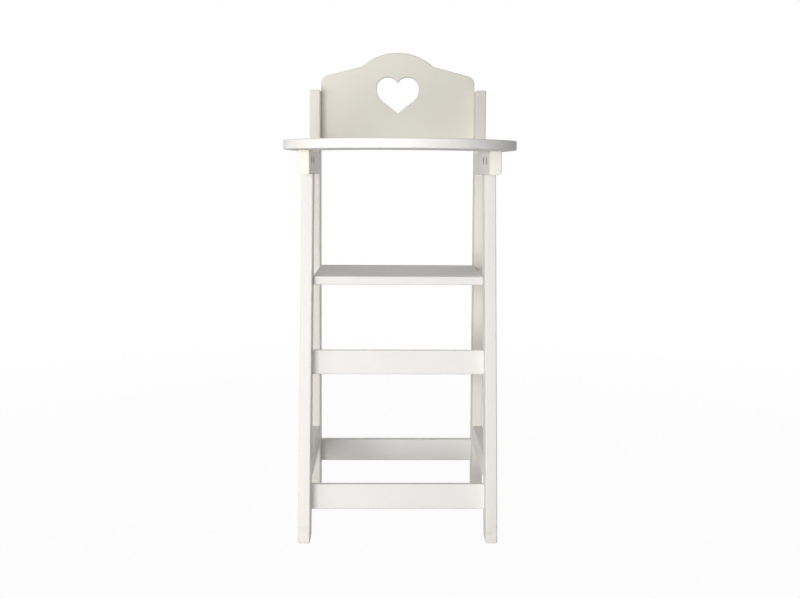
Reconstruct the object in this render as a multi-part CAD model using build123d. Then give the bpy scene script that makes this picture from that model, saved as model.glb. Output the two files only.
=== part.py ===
from build123d import *
import math
import os

# Doll high chair: two side frames with slanted front legs and upright rear posts,
# a seat board and cross rails between them, a back panel with a heart cut through it,
# and a crescent tray on the arms. Lengths are millimetres. The chair faces -Y,
# its left side, seen from the front, is at -X, and it stands on Z = 0.
# A reach is a level distance ahead of the rear posts' front faces.

# Side frames
inner_width = 180.0  # clear width between the two side frames
bar_thickness = 12.0  # every bar of a side frame, measured across the chair
bar_roundover = 1.5
bar_end_bevel = 0.8
arm_underside = 376.2
arm_height = 24.0
arm_length = 158.0
arm_corner_radius = 4.0  # the lower outer edge of each arm
post_depth = 28.0
post_rise = 72.8  # above the arms
leg_depth = 26.0  # level, front to back
leg_setback = 48.0  # from the arm's front end back to the leg, under the arm
leg_lean_run = 52.5  # how far the foot stands ahead of the leg's top
side_rail_height = 22.0
side_rail_underside = 57.0

# Boards between the side frames
board_thickness = 9.0
board_roundover = 1.5
cross_rail_height = 25.5
middle_rail_centre_height = 178.0
lower_rail_centre_height = 40.2
rear_rail_centre_height = 44.2
seat_underside = 260.2
seat_leg_lap = 15.0  # how far the seat's front edge runs in between the legs
seat_post_lap = 10.5  # how far its rear edge runs in between the posts
seat_corner_radius = 3.0

# Back panel
panel_height = 108.0
panel_post_lap = 63.0  # the lower part of its height, in between the posts
panel_corner_radius = 10.0
crown_radius = 62.4
crown_half_width = 42.0
shoulder_drop = 12.4  # from the foot of the crown down to the panel's side
ogee_radius = 12.0
heart_lobe_radius = 13.3
heart_lobe_offset = 11.6  # from the panel's middle to a lobe's centre
heart_lobe_centre_drop = 41.3  # from the top of the crown
heart_flank_half_width = 17.4
heart_flank_drop = 15.8  # from the lobes' centres to where the straight flanks begin
heart_tip_drop = 29.1  # from the lobes' centres to the lower tip
panel_edge_bevel = 0.8  # round the outline and the heart

# Tray
tray_thickness = 9.0
tray_roundover = 1.2
tray_overhang = 109.5  # ahead of the arms' front ends
tray_side_overhang = 11.7  # outside the arms, at the widest line
tray_nose_length = 90.0  # from the widest line to the front
tray_side_radius = 60.0  # where the nose turns into the sides
tray_waist = 86.0  # front to back at the middle
horn_setback = 0.3  # of a horn's hollow edge from the arm's inner face, beside the bolt
horn_past_bolt = 19.0
horn_end_width = 9.6
horn_end_radius = 4.0

# Fasteners. Hidden rods are drawn with flat sides, as fluted dowels have, to keep their faces few.
fit_gap = 0.1  # round every dowel, screw, bolt and nut in its hole
rod_sides = 8
head_sides = 16
dowel_radius = 3.0
slim_dowel_radius = 2.5
screw_radius = 1.75
screw_head_radius = 3.5
screw_head_depth = 2.4
screw_length = 32.0
bolt_radius = 2.0
bolt_head_radius = 3.8
bolt_head_depth = 2.2
nut_radius = 4.0
nut_recess = 2.0  # below the arm's inner face
nut_cover = 2.0  # wood left between a nut and the arm's outer face
nut_drop = 9.2  # from the arm's top to the nuts' axis
bolt_past_nut = 3.0  # how far a bolt or stud runs past the nut's axis
stud_depth_in_leg = 22.0
tray_bolt_setback = 33.5  # from the arm's front end
tray_dowel_setback = 11.0
tray_dowel_depth_in_tray = 6.0
tray_dowel_depth_in_arm = 12.0
leg_dowel_depth_in_leg = 12.0
leg_dowel_depth_in_arm = 10.0
leg_dowel_offset = 7.5  # ahead of the stud
arm_dowel_length = 28.0
arm_dowel_spacing = 12.0
side_rail_dowel_length = 24.0
side_rail_dowel_spacing = 11.0
rail_dowel_depth_in_bar = 8.0
rail_dowel_depth_in_rail = 16.0
rail_fastener_spacing = 12.0
panel_screw_margin = 14.5  # above the panel's lower edge, and below the posts' tops

# Sizes worked out from the ones above
bar_inner = inner_width / 2
bar_middle = bar_inner + bar_thickness / 2
bar_outer = bar_inner + bar_thickness
arm_top = arm_underside + arm_height
post_height = arm_top + post_rise
panel_underside = post_height - panel_post_lap
tray_underside = arm_top
tray_width = (bar_outer + tray_side_overhang) * 2
front_reach = arm_length + tray_overhang
mid_reach = (front_reach - post_depth) / 2
leg_top_reach = arm_length - leg_setback
lean = math.atan(leg_lean_run / arm_underside)
lean_degrees = math.degrees(lean)
rear_board_reach = board_thickness / 2 - post_depth
seat_middle_height = seat_underside + board_thickness / 2
nut_height = arm_top - nut_drop
nut_length = bar_thickness - nut_recess - nut_cover
stud_reach = leg_top_reach - leg_depth / 2
tray_bolt_reach = arm_length - tray_bolt_setback
lowest_long_edge_share = 0.8  # of a bar's length; shorter edges belong to its ends
wide_cut_share = 1 - math.tan(math.pi / 12)  # of a roundover's radius
narrow_cut_share = wide_cut_share * math.tan(math.pi / 6)

sides = {"left": -1, "right": 1}
up = Vector(0, 0, 1)
backward = Vector(0, 1, 0)
leg_up = Vector(0, math.sin(lean), math.cos(lean))
leg_forward = Vector(0, -math.cos(lean), math.sin(lean))


def depth_at(reach):
    # The chair's middle, front to back, is at Y = 0.
    return mid_reach - reach


def leg_front_reach(height):
    return leg_top_reach + leg_lean_run * (arm_underside - height) / arm_underside


def leg_rear_reach(height):
    return leg_front_reach(height) - leg_depth


def seat_front_reach():
    return leg_rear_reach(seat_middle_height) + seat_leg_lap


def outward(side):
    return Vector(side, 0, 0)


def side_bar(side, outline):
    # A bar of a side frame, from its outline as (reach, height) points.
    points = [(depth_at(reach), height) for reach, height in outline]
    start = min(side * bar_inner, side * bar_outer)
    face = make_face(Polyline(*points, close=True))
    return extrude(Plane.YZ.offset(start) * face, bar_thickness)


def long_edges(bar, length):
    return bar.edges().filter_by(lambda edge: edge.length > lowest_long_edge_share * length)


def rounded_rims(board, radius):
    # Rounds the rims of a level board with two flats each, which touch the true round.
    for end in (0, -1):
        face = board.faces().sort_by(Axis.Z)[end]
        board = chamfer(face.edges(), radius * narrow_cut_share, radius * wide_cut_share, reference=face)
        face = board.faces().sort_by(Axis.Z)[end]
        board = chamfer(face.edges(), radius * (wide_cut_share - narrow_cut_share))
    return board


def rod(start, direction, radius, length, gap):
    # A straight rod, or the hole for it when gap is not zero.
    base = Plane(origin=start - direction * gap, z_dir=direction)
    return extrude(base * RegularPolygon(radius + gap, rod_sides), length + gap + gap)


def flat_head(start, direction, radius, head_radius, head_depth, length, gap):
    # A screw or bolt whose cone head lies flush at start.
    rim_plane = Plane(origin=start - direction * gap, z_dir=direction)
    neck_plane = Plane(origin=start + direction * head_depth, z_dir=direction)
    rim = rim_plane * RegularPolygon(head_radius + gap, head_sides)
    neck = neck_plane * RegularPolygon(radius + gap, head_sides)
    return loft([rim, neck]) + rod(start, direction, radius, length, gap)


def barrel(start, direction, length, gap):
    base = Plane(origin=start - direction * gap, z_dir=direction)
    on_base = (Align.CENTER, Align.CENTER, Align.MIN)
    return base * Cylinder(nut_radius + gap, length + gap + gap, align=on_base)


def wood_screw(start, direction, gap):
    return flat_head(start, direction, screw_radius, screw_head_radius, screw_head_depth, screw_length, gap)


# Side frames: post, arm, front leg and side rail
def rear_post(side):
    outline = [(0, 0), (0, post_height), (-post_depth, post_height), (-post_depth, 0)]
    post = side_bar(side, outline)
    post = fillet(post.edges().filter_by(Axis.Z), bar_roundover)
    ends = post.faces().filter_by(Axis.Z)
    return chamfer(ends.edges(), bar_end_bevel)


def arm(side):
    outline = [(0, arm_underside), (arm_length, arm_underside), (arm_length, arm_top), (0, arm_top)]
    bar = side_bar(side, outline)
    outer_edges = bar.edges().filter_by(Axis.Y).group_by(Axis.X)[-1 if side > 0 else 0]
    bar = fillet(outer_edges.sort_by(Axis.Z)[:1], arm_corner_radius)
    long_lines = bar.edges().filter_by(Axis.Y)
    inner_edges = long_lines.group_by(Axis.X)[0 if side > 0 else -1]
    top_outer_edge = long_lines.group_by(Axis.Z)[-1].sort_by(Axis.X)[-1 if side > 0 else 0]
    bar = fillet(inner_edges + ShapeList([top_outer_edge]), bar_roundover)
    return chamfer(bar.faces().sort_by(Axis.Y)[0].edges(), bar_end_bevel)


def front_leg(side):
    outline = [
        (leg_front_reach(0), 0),
        (leg_front_reach(arm_underside), arm_underside),
        (leg_rear_reach(arm_underside), arm_underside),
        (leg_rear_reach(0), 0),
    ]
    leg = side_bar(side, outline)
    leg = fillet(long_edges(leg, arm_underside), bar_roundover)
    return chamfer(leg.faces().sort_by(Axis.Z)[0].edges(), bar_end_bevel)


def side_rail(side):
    top = side_rail_underside + side_rail_height
    outline = [
        (0, side_rail_underside),
        (leg_rear_reach(side_rail_underside), side_rail_underside),
        (leg_rear_reach(top), top),
        (0, top),
    ]
    rail = side_bar(side, outline)
    return fillet(rail.edges().filter_by(Axis.Y), bar_roundover)


# Boards between the side frames
def cross_rail(centre, tilt_degrees):
    rail = Box(inner_width, board_thickness, cross_rail_height)
    rail = fillet(rail.edges().filter_by(Axis.X), board_roundover)
    return Location(centre, (-tilt_degrees, 0, 0)) * rail


def front_rail_centre(height):
    # The rail leans with the legs and is flush with their rear faces.
    on_rear_face = Vector(0, depth_at(leg_rear_reach(height)), height)
    return on_rear_face + leg_forward * (board_thickness / 2)


def rear_rail_centre():
    return Vector(0, depth_at(rear_board_reach), rear_rail_centre_height)


def seat_board():
    seat_depth = seat_front_reach() + seat_post_lap
    board = Box(inner_width, seat_depth, board_thickness)
    front_corners = board.edges().filter_by(Axis.Z).group_by(Axis.Y)[0]
    board = rounded_rims(fillet(front_corners, seat_corner_radius), board_roundover)
    return Pos(0, depth_at(seat_front_reach() - seat_depth / 2), seat_middle_height) * board


def heart_outline(centre_height):
    # Two round lobes, full flanks and straight sides down to the tip, as a closed face.
    widest = heart_lobe_offset + heart_lobe_radius
    notch = centre_height + math.sqrt(heart_lobe_radius**2 - heart_lobe_offset**2)
    lobe_top = centre_height + heart_lobe_radius
    flank_height = centre_height - heart_flank_drop
    tip = (0, centre_height - heart_tip_drop)
    edges = []
    for side in sides.values():
        widest_point = (side * widest, centre_height)
        flank_point = (side * heart_flank_half_width, flank_height)
        edges.append(ThreePointArc((0, notch), (side * heart_lobe_offset, lobe_top), widest_point))
        edges.append(TangentArc(widest_point, flank_point, tangent=(0, -1)))
        edges.append(Line(flank_point, tip))
    return make_face(edges)


def back_panel():
    top = panel_underside + panel_height
    crown_foot = top - crown_radius + math.sqrt(crown_radius**2 - crown_half_width**2)
    shoulder_end = crown_foot - shoulder_drop
    outline = [
        ThreePointArc((-crown_half_width, crown_foot), (0, top), (crown_half_width, crown_foot)),
        Line((bar_inner, panel_underside), (-bar_inner, panel_underside)),
    ]
    for side in sides.values():
        shoulder = (side * bar_inner, shoulder_end)
        foot = (side * bar_inner, panel_underside)
        outline.append(Polyline((side * crown_half_width, crown_foot), shoulder, foot))
    face = make_face(outline)
    corners = face.vertices().group_by(Axis.Y)
    face = fillet(corners[1], panel_corner_radius)
    feet = face.vertices().filter_by(lambda corner: abs(corner.Y - crown_foot) < fit_gap)
    face = fillet(feet, ogee_radius)
    front = Plane.XZ.offset(-depth_at(rear_board_reach) - board_thickness / 2)
    heart = extrude(front * heart_outline(top - heart_lobe_centre_drop), board_thickness)
    panel = extrude(front * face, board_thickness) - heart
    rims = panel.faces().filter_by(Axis.Y).edges()
    rims = rims.filter_by(lambda edge: edge.center().Z > panel_underside + fit_gap)
    return chamfer(rims, panel_edge_bevel)


def tray():
    # The nose is a wide arc between two tighter side arcs, and the rear edge is hollow.
    half_width = tray_width / 2
    front = depth_at(front_reach)
    widest_line = front + tray_nose_length
    side_centre = half_width - tray_side_radius
    spread = side_centre**2 + tray_nose_length**2 - tray_side_radius**2
    nose_radius = spread / (tray_nose_length - tray_side_radius) / 2
    lead = nose_radius - tray_nose_length
    turn_share = tray_side_radius / math.hypot(side_centre, lead)
    turn_half_width = side_centre * (1 + turn_share)
    turn_line = widest_line - lead * turn_share
    waist_line = front + tray_waist
    bolt_line = depth_at(tray_bolt_reach)
    hollow_depth = bolt_line - waist_line
    hollow_half_width = bar_inner + horn_setback
    hollow_radius = (hollow_half_width**2 + hollow_depth**2) / hollow_depth / 2
    horn_end = bolt_line + horn_past_bolt
    hollow_centre = waist_line + hollow_radius
    horn_inner = math.sqrt(hollow_radius**2 - (hollow_centre - horn_end) ** 2)
    horn_outer = horn_inner + horn_end_width
    edges = [
        ThreePointArc((-turn_half_width, turn_line), (0, front), (turn_half_width, turn_line)),
        ThreePointArc((-horn_inner, horn_end), (0, waist_line), (horn_inner, horn_end)),
    ]
    for side in sides.values():
        widest_point = (side * half_width, widest_line)
        outer_point = (side * horn_outer, horn_end)
        edges.append(TangentArc(widest_point, (side * turn_half_width, turn_line), tangent=(0, -1)))
        edges.append(TangentArc(widest_point, outer_point, tangent=(0, 1)))
        edges.append(Line(outer_point, (side * horn_inner, horn_end)))
    board = extrude(Plane.XY.offset(tray_underside) * make_face(edges), tray_thickness)
    board = fillet(board.edges().filter_by(Axis.Z).group_by(Axis.Y)[-1], horn_end_radius)
    return rounded_rims(board, tray_roundover)


# Fasteners: each group is a function of the gap, so the same lines make the pieces and their holes
def arm_nuts(gap):
    nuts = []
    for side in sides.values():
        for reach in (stud_reach, tray_bolt_reach):
            mouth = Vector(side * bar_inner, depth_at(reach), nut_height)
            if gap:
                nuts.append(barrel(mouth, outward(side), nut_recess + nut_length, gap))
            else:
                nuts.append(barrel(mouth + outward(side) * nut_recess, outward(side), nut_length, gap))
    return nuts


def tray_bolts(gap):
    top = tray_underside + tray_thickness
    length = top - nut_height + bolt_past_nut
    heads = [Vector(side * bar_middle, depth_at(tray_bolt_reach), top) for side in sides.values()]
    head_size = (bolt_radius, bolt_head_radius, bolt_head_depth)
    return [flat_head(head, -up, *head_size, length, gap) for head in heads]


def leg_studs(gap):
    bottom = arm_underside - stud_depth_in_leg
    length = nut_height + bolt_past_nut - bottom
    feet = [Vector(side * bar_middle, depth_at(stud_reach), bottom) for side in sides.values()]
    return [rod(foot, up, bolt_radius, length, gap) for foot in feet]


def leg_dowels(gap):
    bottom = arm_underside - leg_dowel_depth_in_leg
    length = leg_dowel_depth_in_leg + leg_dowel_depth_in_arm
    depth = depth_at(stud_reach + leg_dowel_offset)
    feet = [Vector(side * bar_middle, depth, bottom) for side in sides.values()]
    return [rod(foot, up, dowel_radius, length, gap) for foot in feet]


def tray_dowels(gap):
    bottom = arm_top - tray_dowel_depth_in_arm
    length = tray_dowel_depth_in_arm + tray_dowel_depth_in_tray
    depth = depth_at(arm_length - tray_dowel_setback)
    feet = [Vector(side * bar_middle, depth, bottom) for side in sides.values()]
    return [rod(foot, up, dowel_radius, length, gap) for foot in feet]


def dowel_pair(side, joint_reach, height, spacing, length, gap):
    # Two level dowels, one above the other, half of each on either side of a joint.
    start_depth = depth_at(joint_reach) - length / 2
    heights = (height - spacing / 2, height + spacing / 2)
    starts = [Vector(side * bar_middle, start_depth, level) for level in heights]
    return [rod(start, backward, dowel_radius, length, gap) for start in starts]


def arm_dowels(gap):
    height = arm_underside + arm_height / 2
    dowels = []
    for side in sides.values():
        dowels += dowel_pair(side, 0, height, arm_dowel_spacing, arm_dowel_length, gap)
    return dowels


def side_rail_dowels(gap):
    height = side_rail_underside + side_rail_height / 2
    dowels = []
    for side in sides.values():
        for joint_reach in (0, leg_rear_reach(height)):
            dowels += dowel_pair(
                side, joint_reach, height, side_rail_dowel_spacing, side_rail_dowel_length, gap
            )
    return dowels


def rail_ends():
    # Each cross rail end as its centre, on the rail's long middle line, and the way up along its face.
    rails = [
        (front_rail_centre(middle_rail_centre_height), leg_up),
        (front_rail_centre(lower_rail_centre_height), leg_up),
        (rear_rail_centre(), up),
    ]
    return [(side, centre, along) for centre, along in rails for side in sides.values()]


def rail_screws(gap):
    screws = []
    for side, centre, along in rail_ends():
        head = centre + along * (rail_fastener_spacing / 2) + outward(side) * bar_outer
        screws.append(wood_screw(head, -outward(side), gap))
    return screws


def rail_dowels(gap):
    length = rail_dowel_depth_in_bar + rail_dowel_depth_in_rail
    dowels = []
    for side, centre, along in rail_ends():
        inner_end = bar_inner - rail_dowel_depth_in_rail
        start = centre - along * (rail_fastener_spacing / 2) + outward(side) * inner_end
        dowels.append(rod(start, outward(side), slim_dowel_radius, length, gap))
    return dowels


def seat_screws(gap):
    reaches = (seat_front_reach() - seat_leg_lap / 2, -seat_post_lap / 2)
    heads = [
        Vector(side * bar_outer, depth_at(reach), seat_middle_height)
        for side in sides.values()
        for reach in reaches
    ]
    return [wood_screw(head, Vector(-math.copysign(1, head.X), 0, 0), gap) for head in heads]


def back_panel_screws(gap):
    heads = [
        Vector(side * bar_outer, depth_at(rear_board_reach), height)
        for side in sides.values()
        for height in (panel_underside + panel_screw_margin, post_height - panel_screw_margin)
    ]
    return [wood_screw(head, Vector(-math.copysign(1, head.X), 0, 0), gap) for head in heads]


fastener_groups = {
    "arm_barrel_nuts": arm_nuts,
    "tray_bolts": tray_bolts,
    "leg_studs": leg_studs,
    "leg_dowels": leg_dowels,
    "tray_dowels": tray_dowels,
    "arm_dowels": arm_dowels,
    "side_rail_dowels": side_rail_dowels,
    "rail_screws": rail_screws,
    "rail_dowels": rail_dowels,
    "seat_screws": seat_screws,
    "back_panel_screws": back_panel_screws,
}


def boxes_meet(first, second):
    a = first.bounding_box()
    b = second.bounding_box()
    apart_x = a.min.X > b.max.X or b.min.X > a.max.X
    apart_y = a.min.Y > b.max.Y or b.min.Y > a.max.Y
    apart_z = a.min.Z > b.max.Z or b.min.Z > a.max.Z
    return not (apart_x or apart_y or apart_z)


def bored(piece, holes):
    for hole in holes:
        if boxes_meet(piece, hole):
            piece = piece - hole
    return piece


# The whole chair
wooden_pieces = {}
for name, side in sides.items():
    wooden_pieces["front_leg_" + name] = front_leg(side)
    wooden_pieces["rear_post_" + name] = rear_post(side)
    wooden_pieces["arm_" + name] = arm(side)
    wooden_pieces["side_rail_" + name] = side_rail(side)
wooden_pieces["seat_board"] = seat_board()
wooden_pieces["back_panel"] = back_panel()
wooden_pieces["tray"] = tray()
wooden_pieces["front_rail_middle"] = cross_rail(front_rail_centre(middle_rail_centre_height), lean_degrees)
wooden_pieces["front_rail_lower"] = cross_rail(front_rail_centre(lower_rail_centre_height), lean_degrees)
wooden_pieces["rear_rail_lower"] = cross_rail(rear_rail_centre(), 0)

all_holes = [hole for group in fastener_groups.values() for hole in group(fit_gap)]
bolt_holes = tray_bolts(fit_gap) + leg_studs(fit_gap)

os.makedirs("parts", exist_ok=True)
for name, piece in wooden_pieces.items():
    export_step(Compound(bored(piece, all_holes).solids()), "parts/" + name + ".step")
for name, group in fastener_groups.items():
    pieces = group(0)
    if name == "arm_barrel_nuts":
        pieces = [bored(nut, bolt_holes) for nut in pieces]
    solids = [solid for piece in pieces for solid in piece.solids()]
    export_step(Compound(solids), "parts/" + name + ".step")
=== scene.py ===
import math

import bmesh
import bpy
from mathutils import Matrix, Vector


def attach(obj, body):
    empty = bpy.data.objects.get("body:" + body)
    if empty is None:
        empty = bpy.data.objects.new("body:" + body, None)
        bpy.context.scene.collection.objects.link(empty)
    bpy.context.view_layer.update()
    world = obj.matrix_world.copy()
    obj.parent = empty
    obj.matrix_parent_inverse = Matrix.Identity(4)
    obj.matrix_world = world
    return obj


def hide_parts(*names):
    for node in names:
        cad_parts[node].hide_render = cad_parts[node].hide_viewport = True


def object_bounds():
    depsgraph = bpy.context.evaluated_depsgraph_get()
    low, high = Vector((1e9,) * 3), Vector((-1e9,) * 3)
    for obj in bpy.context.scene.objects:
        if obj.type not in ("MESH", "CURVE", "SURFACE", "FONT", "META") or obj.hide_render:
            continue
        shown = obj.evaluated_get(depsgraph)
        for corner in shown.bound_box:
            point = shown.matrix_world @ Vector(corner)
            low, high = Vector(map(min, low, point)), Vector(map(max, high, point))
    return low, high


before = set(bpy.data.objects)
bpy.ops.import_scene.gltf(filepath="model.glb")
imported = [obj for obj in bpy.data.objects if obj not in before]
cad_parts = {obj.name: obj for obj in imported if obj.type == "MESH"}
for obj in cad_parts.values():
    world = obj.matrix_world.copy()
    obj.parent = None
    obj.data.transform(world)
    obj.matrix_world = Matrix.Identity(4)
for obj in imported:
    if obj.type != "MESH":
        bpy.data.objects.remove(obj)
cadLow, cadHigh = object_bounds()
chairMiddle = (cadLow + cadHigh) / 2
print("frame loaded:", len(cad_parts), "CAD nodes")

# Camera, at the photograph's place. Angles in degrees, places in metres.
cameraView = {
    "place": (-0.0142, -1.0035, 0.3797),
    "yaw": 0.885,  # towards +X
    "pitch": 4.055,  # downwards
    "roll": 0.293,
    "focalPixels": 964.3,
    "frameWidthPixels": 800,
    "raisePixels": 60,  # how much higher the chair stands in the frame than a centred lens would put it
    "sensorWidth": 36.0,
}


def makeCamera():
    yaw, pitch, roll = (math.radians(cameraView[key]) for key in ("yaw", "pitch", "roll"))
    ahead = Vector((math.sin(yaw) * math.cos(pitch), math.cos(yaw) * math.cos(pitch), -math.sin(pitch)))
    levelRight = Vector((math.cos(yaw), -math.sin(yaw), 0))
    levelUp = levelRight.cross(ahead)
    right = levelRight * math.cos(roll) + levelUp * math.sin(roll)
    up = levelUp * math.cos(roll) - levelRight * math.sin(roll)
    turn = Matrix((right, up, -ahead)).transposed().to_4x4()
    data = bpy.data.cameras.new("photoCamera")
    data.sensor_width = cameraView["sensorWidth"]
    data.lens = cameraView["sensorWidth"] * cameraView["focalPixels"] / cameraView["frameWidthPixels"]
    data.shift_y = -cameraView["raisePixels"] / cameraView["frameWidthPixels"]
    camera = bpy.data.objects.new("photoCamera", data)
    bpy.context.scene.collection.objects.link(camera)
    camera.matrix_world = Matrix.Translation(cameraView["place"]) @ turn
    bpy.context.scene.camera = camera


makeCamera()
print("camera placed")


# Shader helpers
def newTree(owner):
    owner.use_nodes = True
    tree = owner.node_tree
    tree.nodes.clear()
    return tree


def feed(tree, socket, source):
    # Links another node's output to the socket, or sets a plain value on it.
    if isinstance(source, bpy.types.NodeSocket):
        tree.links.new(source, socket)
    else:
        socket.default_value = source


def addNode(tree, kind, **settings):
    # Each setting names a property of the node or else one of its inputs.
    node = tree.nodes.new(kind)
    for key, value in settings.items():
        if hasattr(node, key):
            setattr(node, key, value)
        else:
            feed(tree, node.inputs[key], value)
    return node


def addMix(tree, factor, first, second, blend="MIX"):
    # A colour mix. The node keeps its colours on the sockets 6 and 7.
    node = addNode(tree, "ShaderNodeMix", data_type="RGBA", blend_type=blend)
    for index, source in ((0, factor), (6, first), (7, second)):
        feed(tree, node.inputs[index], source)
    return node.outputs[2]


def addMath(tree, operation, *sources):
    node = addNode(tree, "ShaderNodeMath", operation=operation)
    for socket, source in zip(node.inputs, sources):
        feed(tree, socket, source)
    return node.outputs[0]


def addRange(tree, value, span, newSpan=(0.0, 1.0)):
    # Takes the first span to the second one, and stops at its ends.
    node = addNode(tree, "ShaderNodeMapRange")
    for socket, source in zip(node.inputs, (value, *span, *newSpan)):
        feed(tree, socket, source)
    return node.outputs[0]


def addNoise(tree, place, scale, detail, roughness=0.5):
    node = addNode(tree, "ShaderNodeTexNoise", Vector=place, Scale=scale, Detail=detail, Roughness=roughness)
    return node.outputs["Fac"]


def objectPlace(tree):
    return addNode(tree, "ShaderNodeTexCoord").outputs["Object"]


def addSurface(tree, colour, roughness, height, bump, fixed):
    # The fixed values are the same all over, so they go on the shader's own sockets.
    shader = addNode(tree, "ShaderNodeBsdfPrincipled", Roughness=roughness)
    feed(tree, shader.inputs["Base Color"], colour)
    for key, value in fixed.items():
        shader.inputs[key].default_value = value
    relief = addNode(tree, "ShaderNodeBump", Height=height, **bump)
    feed(tree, shader.inputs["Normal"], relief.outputs["Normal"])
    addNode(tree, "ShaderNodeOutputMaterial", Surface=shader.outputs[0])


# Sprayed paint over sanded wood: faint grain under the film, orange peel, small specks and scuffed feet.
# A noise is given as its scale, its detail and, where it isn't 0.5, its roughness.
paintFilm = {
    "cloud": (9.0, 2.0),
    "cloudSpan": (0.3, 0.7),
    "cloudShare": 0.35,
    "grain": (150.0, 4.0, 0.6),
    "grainSpan": (0.45, 0.75),
    "grainShare": 0.05,
    "grainHeight": 0.45,
    "peel": (480.0, 1.0),
    "peelHeight": 0.55,
    "speck": (420.0, 0.0),
    "speckSpan": (0.76, 0.80),
    "speckShare": 0.10,
    "speckColour": (0.45, 0.41, 0.36, 1.0),
    "scuff": (140.0, 3.0),
    "scuffSpan": (0.45, 0.70),
    "scuffShare": 0.30,
    "scuffHeight": 0.03,
    "scuffColour": (0.42, 0.39, 0.35, 1.0),
    "roughness": (0.42, 0.52),
    "levelSpan": (0.5, 0.95),  # how far a face's normal points up or down
    "levelRoughness": 0.48,
}
paintSockets = {
    "INPUT": {"Coordinates": "Vector", "Paint": "Color", "Shade": "Color", "Grain": "Vector"},
    "OUTPUT": {"Color": "Color", "Roughness": "Float", "Height": "Float"},
}


def makePaintGroup():
    group = bpy.data.node_groups.new("paintOverWood", "ShaderNodeTree")
    for way, kinds in paintSockets.items():
        for name, kind in kinds.items():
            group.interface.new_socket(name, in_out=way, socket_type="NodeSocket" + kind)
    entry = addNode(group, "NodeGroupInput").outputs
    place, shade = entry["Coordinates"], entry["Shade"]
    stretched = addNode(group, "ShaderNodeVectorMath", operation="MULTIPLY")
    feed(group, stretched.inputs[0], place)
    feed(group, stretched.inputs[1], entry["Grain"])
    cloud = addNoise(group, place, *paintFilm["cloud"])
    grain = addNoise(group, stretched.outputs[0], *paintFilm["grain"])
    peel = addNoise(group, place, *paintFilm["peel"])
    speck = addNoise(group, place, *paintFilm["speck"])
    scuff = addNoise(group, place, *paintFilm["scuff"])

    cloudMask = addRange(group, cloud, paintFilm["cloudSpan"], (0.0, paintFilm["cloudShare"]))
    grainMask = addRange(group, grain, paintFilm["grainSpan"], (0.0, paintFilm["grainShare"]))
    speckMask = addRange(group, speck, paintFilm["speckSpan"], (0.0, paintFilm["speckShare"]))
    scuffMask = addRange(group, scuff, paintFilm["scuffSpan"], (0.0, paintFilm["scuffShare"]))
    height = addNode(group, "ShaderNodeSeparateXYZ", Vector=place).outputs["Z"]
    lowMask = addRange(group, height, (0.0, paintFilm["scuffHeight"]), (1.0, 0.0))
    clouded = addMix(group, cloudMask, entry["Paint"], shade)
    lined = addMix(group, grainMask, clouded, shade, "MULTIPLY")
    specked = addMix(group, speckMask, lined, paintFilm["speckColour"])
    scuffed = addMix(group, addMath(group, "MULTIPLY", lowMask, scuffMask), specked, paintFilm["scuffColour"])

    # Level tops hold settled dust and level undersides got a thin, dry coat: neither is glossy
    normal = addNode(group, "ShaderNodeNewGeometry").outputs["Normal"]
    upward = addNode(group, "ShaderNodeSeparateXYZ", Vector=normal).outputs["Z"]
    level = addMath(group, "ABSOLUTE", upward)
    dull = addRange(group, level, paintFilm["levelSpan"], (0.0, paintFilm["levelRoughness"]))
    rough = addRange(group, cloud, paintFilm["cloudSpan"], paintFilm["roughness"])
    grainRelief = addMath(group, "MULTIPLY", grain, paintFilm["grainHeight"])
    relief = addMath(group, "MULTIPLY_ADD", peel, paintFilm["peelHeight"], grainRelief)
    addNode(group, "NodeGroupOutput", Color=scuffed, Roughness=addMath(group, "ADD", rough, dull), Height=relief)
    return group


paintGroup = makePaintGroup()

# The panel, posts and arms have yellowed a little, the rails, the seat and the tray hardly at all
paintColours = {
    "white": {"Paint": (0.83, 0.815, 0.785, 1.0), "Shade": (0.79, 0.765, 0.72, 1.0)},
    "warm": {"Paint": (0.87, 0.838, 0.775, 1.0), "Shade": (0.83, 0.785, 0.71, 1.0)},
    "panel": {"Paint": (0.866, 0.846, 0.768, 1.0), "Shade": (0.83, 0.795, 0.70, 1.0)},
    "cool": {"Paint": (0.83, 0.815, 0.80, 1.0), "Shade": (0.79, 0.77, 0.745, 1.0)},
}
grainWays = {"up": (1.0, 1.0, 0.06), "rear": (1.0, 0.06, 1.0), "across": (0.06, 1.0, 1.0)}
paintBump = {"Strength": 0.16, "Distance": 0.0003}
paintGloss = {"Specular IOR Level": 0.10}


def makePaint(name, tint, grain):
    material = bpy.data.materials.new(name)
    tree = newTree(material)
    film = addNode(tree, "ShaderNodeGroup", node_tree=paintGroup, Coordinates=objectPlace(tree),
                   Grain=grainWays[grain], **paintColours[tint]).outputs
    addSurface(tree, film["Color"], film["Roughness"], film["Height"], paintBump, paintGloss)
    return material


zincPlate = {
    "light": (0.66, 0.65, 0.62, 1.0),
    "dark": (0.50, 0.48, 0.43, 1.0),
    "blotch": (260.0, 3.0),
    "relief": (900.0, 2.0),
    "roughness": (0.28, 0.45),
    "bump": {"Strength": 0.15, "Distance": 0.0001},
    "fixed": {"Metallic": 1.0},
}
beechWood = {
    "light": (0.66, 0.47, 0.30, 1.0),
    "dark": (0.45, 0.27, 0.14, 1.0),
    "blotch": (500.0, 4.0, 0.6),
    "relief": (500.0, 4.0, 0.6),
    "roughness": (0.55, 0.75),
    "bump": {"Strength": 0.2, "Distance": 0.0002},
    "fixed": {},
}
blotchSpan = (0.3, 0.7)


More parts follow.
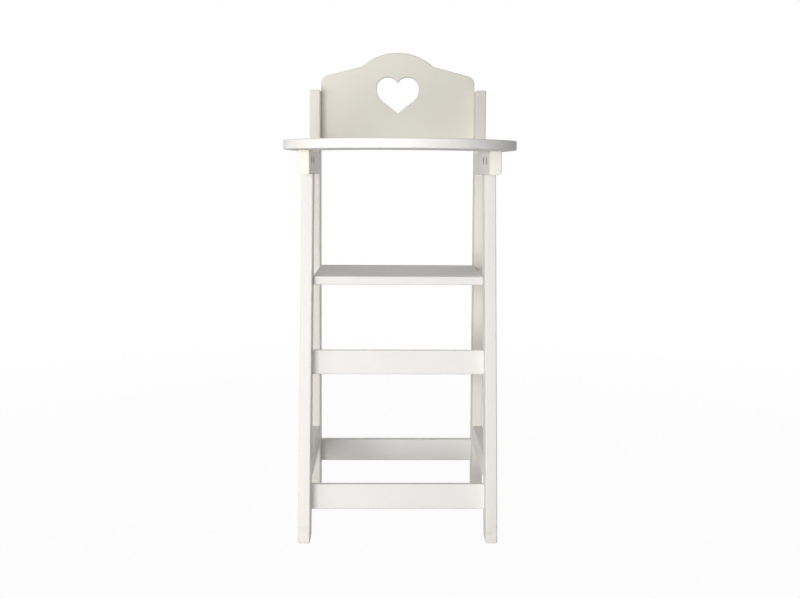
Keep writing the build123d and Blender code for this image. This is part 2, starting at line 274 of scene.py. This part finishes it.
def makeBare(name, look):
    # An unpainted surface: two colours blotched together, with a fine relief.
    material = bpy.data.materials.new(name)
    tree = newTree(material)
    place = objectPlace(tree)
    blotch = addNoise(tree, place, *look["blotch"])
    colour = addMix(tree, blotch, look["light"], look["dark"])
    rough = addRange(tree, blotch, blotchSpan, look["roughness"])
    addSurface(tree, colour, rough, addNoise(tree, place, *look["relief"]), look["bump"], look["fixed"])
    return material


def shadedBareBores(material, bores):
    # Paints bare wood inside the nut bores, which were drilled after painting, darkened well below the bare beech
    # as painted shade in the bores.
    tree = material.node_tree
    shader = next(node for node in tree.nodes if node.type == "BSDF_PRINCIPLED")
    across, rearward, upward = addNode(tree, "ShaderNodeSeparateXYZ", Vector=objectPlace(tree)).outputs
    beyond = addMath(tree, "ABSOLUTE", across)
    past = addMath(tree, "GREATER_THAN", beyond, bores["faceDistance"])
    short = addMath(tree, "LESS_THAN", beyond, bores["endDistance"])
    total = 0.0
    for depth, height in bores["axes"]:
        aside = addMath(tree, "SUBTRACT", rearward, depth)
        above = addMath(tree, "SUBTRACT", upward, height)
        squares = addMath(tree, "MULTIPLY_ADD", aside, aside, addMath(tree, "MULTIPLY", above, above))
        near = addMath(tree, "LESS_THAN", addMath(tree, "SQRT", squares), bores["radius"])
        total = addMath(tree, "MAXIMUM", near, total)
    # Where the bare wood and the painted shade inside the bores go
    boreShadeMask = addMath(tree, "MULTIPLY", total, addMath(tree, "MULTIPLY", past, short))
    painted = shader.inputs["Base Color"].links[0].from_socket
    feed(tree, shader.inputs["Base Color"], addMix(tree, boreShadeMask, painted, bores["colour"]))


zinc = makeBare("zincPlatedSteel", zincPlate)
bareBeech = makeBare("bareBeech", beechWood)
armPaint = makePaint("warmPaintRear", "warm", "rear")
acrossPaint = makePaint("coolPaintAcross", "cool", "across")

# The finish of each painted CAD node, by the start of its name
nodeFinishes = {
    "front_leg": makePaint("whitePaintUp", "white", "up"),
    "rear_post": makePaint("warmPaintUp", "warm", "up"),
    "arm": armPaint,
    "side_rail": makePaint("whitePaintRear", "white", "rear"),
    "seat_board": acrossPaint,
    "back_panel": makePaint("panelPaintAcross", "panel", "across"),
    "tray": acrossPaint,
    "front_rail": acrossPaint,
    "rear_rail": acrossPaint,
}


def finishFor(nodeName):
    if nodeName.endswith("dowels"):
        return bareBeech
    if nodeName.endswith(("screws", "studs", "bolts", "nuts")):
        return zinc
    return next(finish for start, finish in nodeFinishes.items() if nodeName.startswith(start))


for nodeName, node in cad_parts.items():
    node.data.materials.clear()
    node.data.materials.append(finishFor(nodeName))
print("finishes laid on", len(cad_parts), "nodes")

# Fasteners, modelled once and copied to where the CAD has them
weldDistance = 1e-6


def islandBoxes(nodeName):
    # The lowest and highest corner of each separate solid in a node.
    shape = bmesh.new()
    shape.from_mesh(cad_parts[nodeName].data)
    bmesh.ops.remove_doubles(shape, verts=shape.verts, dist=weldDistance)
    unseen = set(shape.verts)
    boxes = []
    while unseen:
        island = {unseen.pop()}
        edge = list(island)
        while edge:
            vertex = edge.pop()
            for link in vertex.link_edges:
                other = link.other_vert(vertex)
                if other in unseen:
                    unseen.remove(other)
                    island.add(other)
                    edge.append(other)
        low = Vector([min(vertex.co[axis] for vertex in island) for axis in range(3)])
        high = Vector([max(vertex.co[axis] for vertex in island) for axis in range(3)])
        boxes.append((low, high))
    shape.free()
    return sorted(boxes, key=lambda corners: tuple(corners[0]))


nutBores = {
    "radius": 0.0042,
    "faceDistance": 0.0901,  # from the chair's middle to just past the arm's inner face
    "endDistance": 0.1010,  # to just past the bore's end, short of the outer face
    # The bores' colour: bare wood darkened further, as painted shade inside the bores
    "colour": (0.20, 0.15, 0.10, 1.0),
    "axes": [((low.y + high.y) / 2, (low.z + high.z) / 2) for low, high in islandBoxes("arm_barrel_nuts")
             if low.x > 0],
}
shadedBareBores(armPaint, nutBores)


def deselectAll():
    if bpy.context.object and bpy.context.object.mode != "OBJECT":
        bpy.ops.object.mode_set(mode="OBJECT")
    bpy.ops.object.select_all(action="DESELECT")


def pick(pieces):
    # Selects the pieces alone, with the first one active.
    deselectAll()
    for piece in pieces:
        piece.select_set(True)
    bpy.context.view_layer.objects.active = pieces[0]


def applyTransform():
    bpy.ops.object.transform_apply(location=True, rotation=True, scale=True)


def applyModifiers(piece):
    pick([piece])
    for modifier in list(piece.modifiers):
        bpy.ops.object.modifier_apply(modifier=modifier.name)


def combined(piece, other, operation):
    change = piece.modifiers.new("combine", "BOOLEAN")
    change.operation = operation
    change.solver = "EXACT"
    change.object = other
    applyModifiers(piece)
    bpy.data.objects.remove(other)
    return piece


softening = {"segments": 2, "sharpAngle": 40.0, "mergeDistance": 0.000012, "sliverLength": 0.000008}


def softenEdges(piece, width):
    bevel = piece.modifiers.new("soften", "BEVEL")
    bevel.width = width
    bevel.segments = softening["segments"]
    bevel.limit_method = "ANGLE"
    bevel.angle_limit = math.radians(softening["sharpAngle"])
    applyModifiers(piece)
    # Clears the slivers that the bevel leaves in tight corners
    shape = bmesh.new()
    shape.from_mesh(piece.data)
    bmesh.ops.remove_doubles(shape, verts=shape.verts, dist=softening["mergeDistance"])
    bmesh.ops.dissolve_degenerate(shape, edges=shape.edges, dist=softening["sliverLength"])
    shape.to_mesh(piece.data)
    shape.free()


def addDrum(radius, topHeight, length, vertices=32, endRadius=None):
    # A drum that hangs down from topHeight, or a cone when endRadius is given.
    deselectAll()
    bpy.ops.mesh.primitive_cone_add(vertices=vertices, radius1=radius if endRadius is None else endRadius,
                                    radius2=radius, depth=length, location=(0, 0, topHeight - length / 2))
    applyTransform()
    return bpy.context.object


def addBlock(size):
    deselectAll()
    bpy.ops.mesh.primitive_cube_add(size=1)
    bpy.context.object.scale = size
    applyTransform()
    return bpy.context.object


# Each pattern hangs down from the origin, with its head up. Shares are of the CAD solid's own radius.
flatScrew = {
    "headShare": 0.97,
    "headDepth": 0.0024,
    "shankRadius": 0.0016625,
    "shankStart": 0.9,  # of the head's depth
    "tipLength": 0.005,
    "tipLap": 0.1,  # of the tip's length
    "tipEndShare": 0.15,
    "recessArm": 0.0034,
    "recessWidth": 0.0009,
    "recessDepth": 0.0014,
    "softWidth": 0.00012,
}


def makeFlatScrew(headRadius, length):
    # Countersunk, with a point and a cross recess.
    shankRadius, headDepth, tipLength = (flatScrew[key] for key in ("shankRadius", "headDepth", "tipLength"))
    shankTop = -headDepth * flatScrew["shankStart"]
    shankLength = length - tipLength - headDepth
    tipTop = shankTop - shankLength + tipLength * flatScrew["tipLap"]
    screw = addDrum(headRadius * flatScrew["headShare"], 0, headDepth, endRadius=shankRadius)
    combined(screw, addDrum(shankRadius, shankTop, shankLength), "UNION")
    tip = addDrum(shankRadius, tipTop, tipLength, endRadius=shankRadius * flatScrew["tipEndShare"])
    combined(screw, tip, "UNION")
    arm, width, depth = flatScrew["recessArm"], flatScrew["recessWidth"], flatScrew["recessDepth"]
    combined(screw, addBlock((arm, width, depth * 2)), "DIFFERENCE")
    combined(screw, addBlock((width, arm, depth * 2)), "DIFFERENCE")
    softenEdges(screw, flatScrew["softWidth"])
    return screw


socketBolt = {
    "headShare": 0.97,
    "headDepth": 0.0022,
    "shankRadius": 0.0019,
    "shankStart": 0.9,  # of the head's depth
    "socketRadius": 0.0014,
    "socketDepth": 0.0016,
    "softWidth": 0.00012,
}


def makeSocketBolt(headRadius, length):
    # Countersunk, with a hexagon socket.
    shankRadius, headDepth, socketDepth = (socketBolt[key] for key in ("shankRadius", "headDepth", "socketDepth"))
    bolt = addDrum(headRadius * socketBolt["headShare"], 0, headDepth, endRadius=shankRadius)
    shank = addDrum(shankRadius, -headDepth * socketBolt["shankStart"], length - headDepth)
    combined(bolt, shank, "UNION")
    combined(bolt, addDrum(socketBolt["socketRadius"], socketDepth, socketDepth * 2, vertices=6), "DIFFERENCE")
    softenEdges(bolt, socketBolt["softWidth"])
    return bolt


barrelNut = {
    "radiusShare": 0.985,
    "vertices": 48,
    "slotWidth": 0.0012,
    "slotDepth": 0.0012,
    "boltHoleRadius": 0.0021,
    "boltHoleVertices": 24,
    "softWidth": 0.0002,
}


def makeBarrelNut(radius, length):
    # A round bar with a slot in its end and a cross hole for the bolt.
    nut = addDrum(radius * barrelNut["radiusShare"], 0, length, vertices=barrelNut["vertices"])
    slot = addBlock((radius * 3, barrelNut["slotWidth"], barrelNut["slotDepth"] * 2))
    combined(nut, slot, "DIFFERENCE")
    hole = addDrum(barrelNut["boltHoleRadius"], radius * 2, radius * 4, vertices=barrelNut["boltHoleVertices"])
    pick([hole])
    hole.rotation_euler = (0, math.pi / 2, 0)
    hole.location = (0, 0, -length / 2)
    applyTransform()
    combined(nut, hole, "DIFFERENCE")
    softenEdges(nut, barrelNut["softWidth"])
    return nut


smoothAngle = 35.0


def placeCopies(pattern, name, turns, nodeName):
    # turns holds one placing matrix for each copy.
    copies = []
    for turn in turns:
        copy = bpy.data.objects.new(name, pattern.data.copy())
        bpy.context.scene.collection.objects.link(copy)
        copy.data.transform(turn)
        copies.append(copy)
    bpy.data.objects.remove(pattern)
    pick(copies)
    bpy.ops.object.join()
    piece = copies[0]
    piece.name = name
    piece.data.materials.clear()
    piece.data.materials.append(zinc)
    bpy.ops.object.shade_smooth_by_angle(angle=math.radians(smoothAngle))
    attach(piece, "root")
    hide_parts(nodeName)


def sidewaysTurn(low, high, headX, headWay):
    # Lays a pattern along X, with its head at headX and facing headWay.
    turn = Matrix.Rotation(headWay * math.pi / 2, 4, "Y")
    return Matrix.Translation((headX, (low.y + high.y) / 2, (low.z + high.z) / 2)) @ turn


def outwardTurn(low, high):
    side = 1 if low.x + high.x > 0 else -1
    return sidewaysTurn(low, high, max(low.x, high.x, key=abs), side)


def inwardTurn(low, high):
    side = 1 if low.x + high.x > 0 else -1
    return sidewaysTurn(low, high, min(low.x, high.x, key=abs), -side)


def uprightTurn(low, high):
    return Matrix.Translation(((low.x + high.x) / 2, (low.y + high.y) / 2, high.z))


# CAD node, piece, pattern, how it is placed, and the axis that it lies along
fasteners = (
    ("rail_screws", "railScrews", makeFlatScrew, outwardTurn, 0),
    ("seat_screws", "seatScrews", makeFlatScrew, outwardTurn, 0),
    ("back_panel_screws", "backPanelScrews", makeFlatScrew, outwardTurn, 0),
    ("tray_bolts", "trayBolts", makeSocketBolt, uprightTurn, 2),
    ("arm_barrel_nuts", "armBarrelNuts", makeBarrelNut, inwardTurn, 0),
)
for nodeName, name, makePattern, turnFor, along in fasteners:
    boxes = islandBoxes(nodeName)
    low, high = boxes[0]
    width, length = high[2 - along] - low[2 - along], high[along] - low[along]
    placeCopies(makePattern(width / 2, length), name, [turnFor(*corners) for corners in boxes], nodeName)
print("fasteners modelled and placed")

# Floor and background: white to the camera, with the chair's own soft shadow kept
floorLook = {
    "size": 14.0,
    "colour": (0.55, 0.55, 0.55, 1.0),
    "whiteShare": (0.965, 1.0),  # near the chair and far from it
    "whiteReach": (0.30, 1.3),
}
white = (1.0, 1.0, 1.0, 1.0)


def addSeenMask(tree):
    # 1 for camera, glossy and transmission rays, which show the background.
    rays = addNode(tree, "ShaderNodeLightPath").outputs
    seen = addMath(tree, "MAXIMUM", rays["Is Camera Ray"], rays["Is Glossy Ray"])
    return addMath(tree, "MAXIMUM", seen, rays["Is Transmission Ray"])


def makeFloor():
    deselectAll()
    bpy.ops.mesh.primitive_plane_add(size=floorLook["size"], location=(0, 0, cadLow.z))
    floor = bpy.context.object
    floor.name = "studioFloor"
    applyTransform()
    material = bpy.data.materials.new("paleFloor")
    tree = newTree(material)
    distance = addNode(tree, "ShaderNodeVectorMath", operation="LENGTH")
    feed(tree, distance.inputs[0], objectPlace(tree))
    share = addRange(tree, distance.outputs["Value"], floorLook["whiteReach"], floorLook["whiteShare"])
    diffuse = addNode(tree, "ShaderNodeBsdfDiffuse", Color=floorLook["colour"])
    glow = addNode(tree, "ShaderNodeEmission", Color=white, Strength=1.0)
    mixed = addNode(tree, "ShaderNodeMixShader")
    sources = (addMath(tree, "MULTIPLY", share, addSeenMask(tree)), diffuse.outputs[0], glow.outputs[0])
    for socket, source in zip(mixed.inputs, sources):
        feed(tree, socket, source)
    addNode(tree, "ShaderNodeOutputMaterial", Surface=mixed.outputs[0])
    floor.data.materials.append(material)


makeFloor()

# The light that falls on the chair from all round: the least of it, and what each way adds.
# A way is given as its axis, its sign on that axis, how far out on it the light starts, and the light.
roomLight = {
    "least": 0.07,
    "tint": (0.985, 0.99, 1.0),
    "ways": (
        (2, 1, 0.0, 0.27),  # above
        (1, -1, 0.0, 0.04),  # front
        (0, -1, 0.0, 0.08),  # left
        (0, 1, 0.0, 0.08),  # right
        (1, 1, 0.5, 1.50),  # rear
    ),
}


def makeWorld():
    world = bpy.data.worlds.new("studio")
    bpy.context.scene.world = world
    tree = newTree(world)
    direction = addNode(tree, "ShaderNodeTexCoord").outputs["Generated"]
    split = addNode(tree, "ShaderNodeSeparateXYZ", Vector=direction)
    total = roomLight["least"]
    for axis, sign, start, light in roomLight["ways"]:
        part = addRange(tree, split.outputs[axis], (sign * start, sign), (0.0, light))
        total = addMath(tree, "ADD", part, total)
    lit = addNode(tree, "ShaderNodeVectorMath", operation="SCALE", Scale=total)
    lit.inputs[0].default_value = roomLight["tint"]
    colour = addMix(tree, addSeenMask(tree), lit.outputs[0], white)
    background = addNode(tree, "ShaderNodeBackground", Color=colour, Strength=1.0)
    addNode(tree, "ShaderNodeOutputWorld", Surface=background.outputs[0])


makeWorld()

# Soft lamps at the height of the seat: a strong one left of the camera and a weak one further round
lamps = {
    "frontLamp": {"place": (-0.33, -1.05, 0.31), "size": 0.62, "power": 9.0, "colour": (1.0, 0.99, 0.985)},
    "leftLamp": {"place": (-0.95, -0.85, 0.30), "size": 0.6, "power": 1.7, "colour": (1.0, 0.985, 0.965)},
}


def makeLamp(name, look):
    data = bpy.data.lights.new(name, "AREA")
    data.shape = "DISK"
    data.size = look["size"]
    data.energy = look["power"]
    data.color = look["colour"]
    lamp = bpy.data.objects.new(name, data)
    bpy.context.scene.collection.objects.link(lamp)
    lamp.location = look["place"]
    lamp.rotation_mode = "QUATERNION"
    lamp.rotation_quaternion = (Vector(look["place"]) - chairMiddle).to_track_quat("Z", "Y")


for name, look in lamps.items():
    makeLamp(name, look)
bpy.context.scene.view_settings.view_transform = "Standard"
print("floor, background and lamps ready")
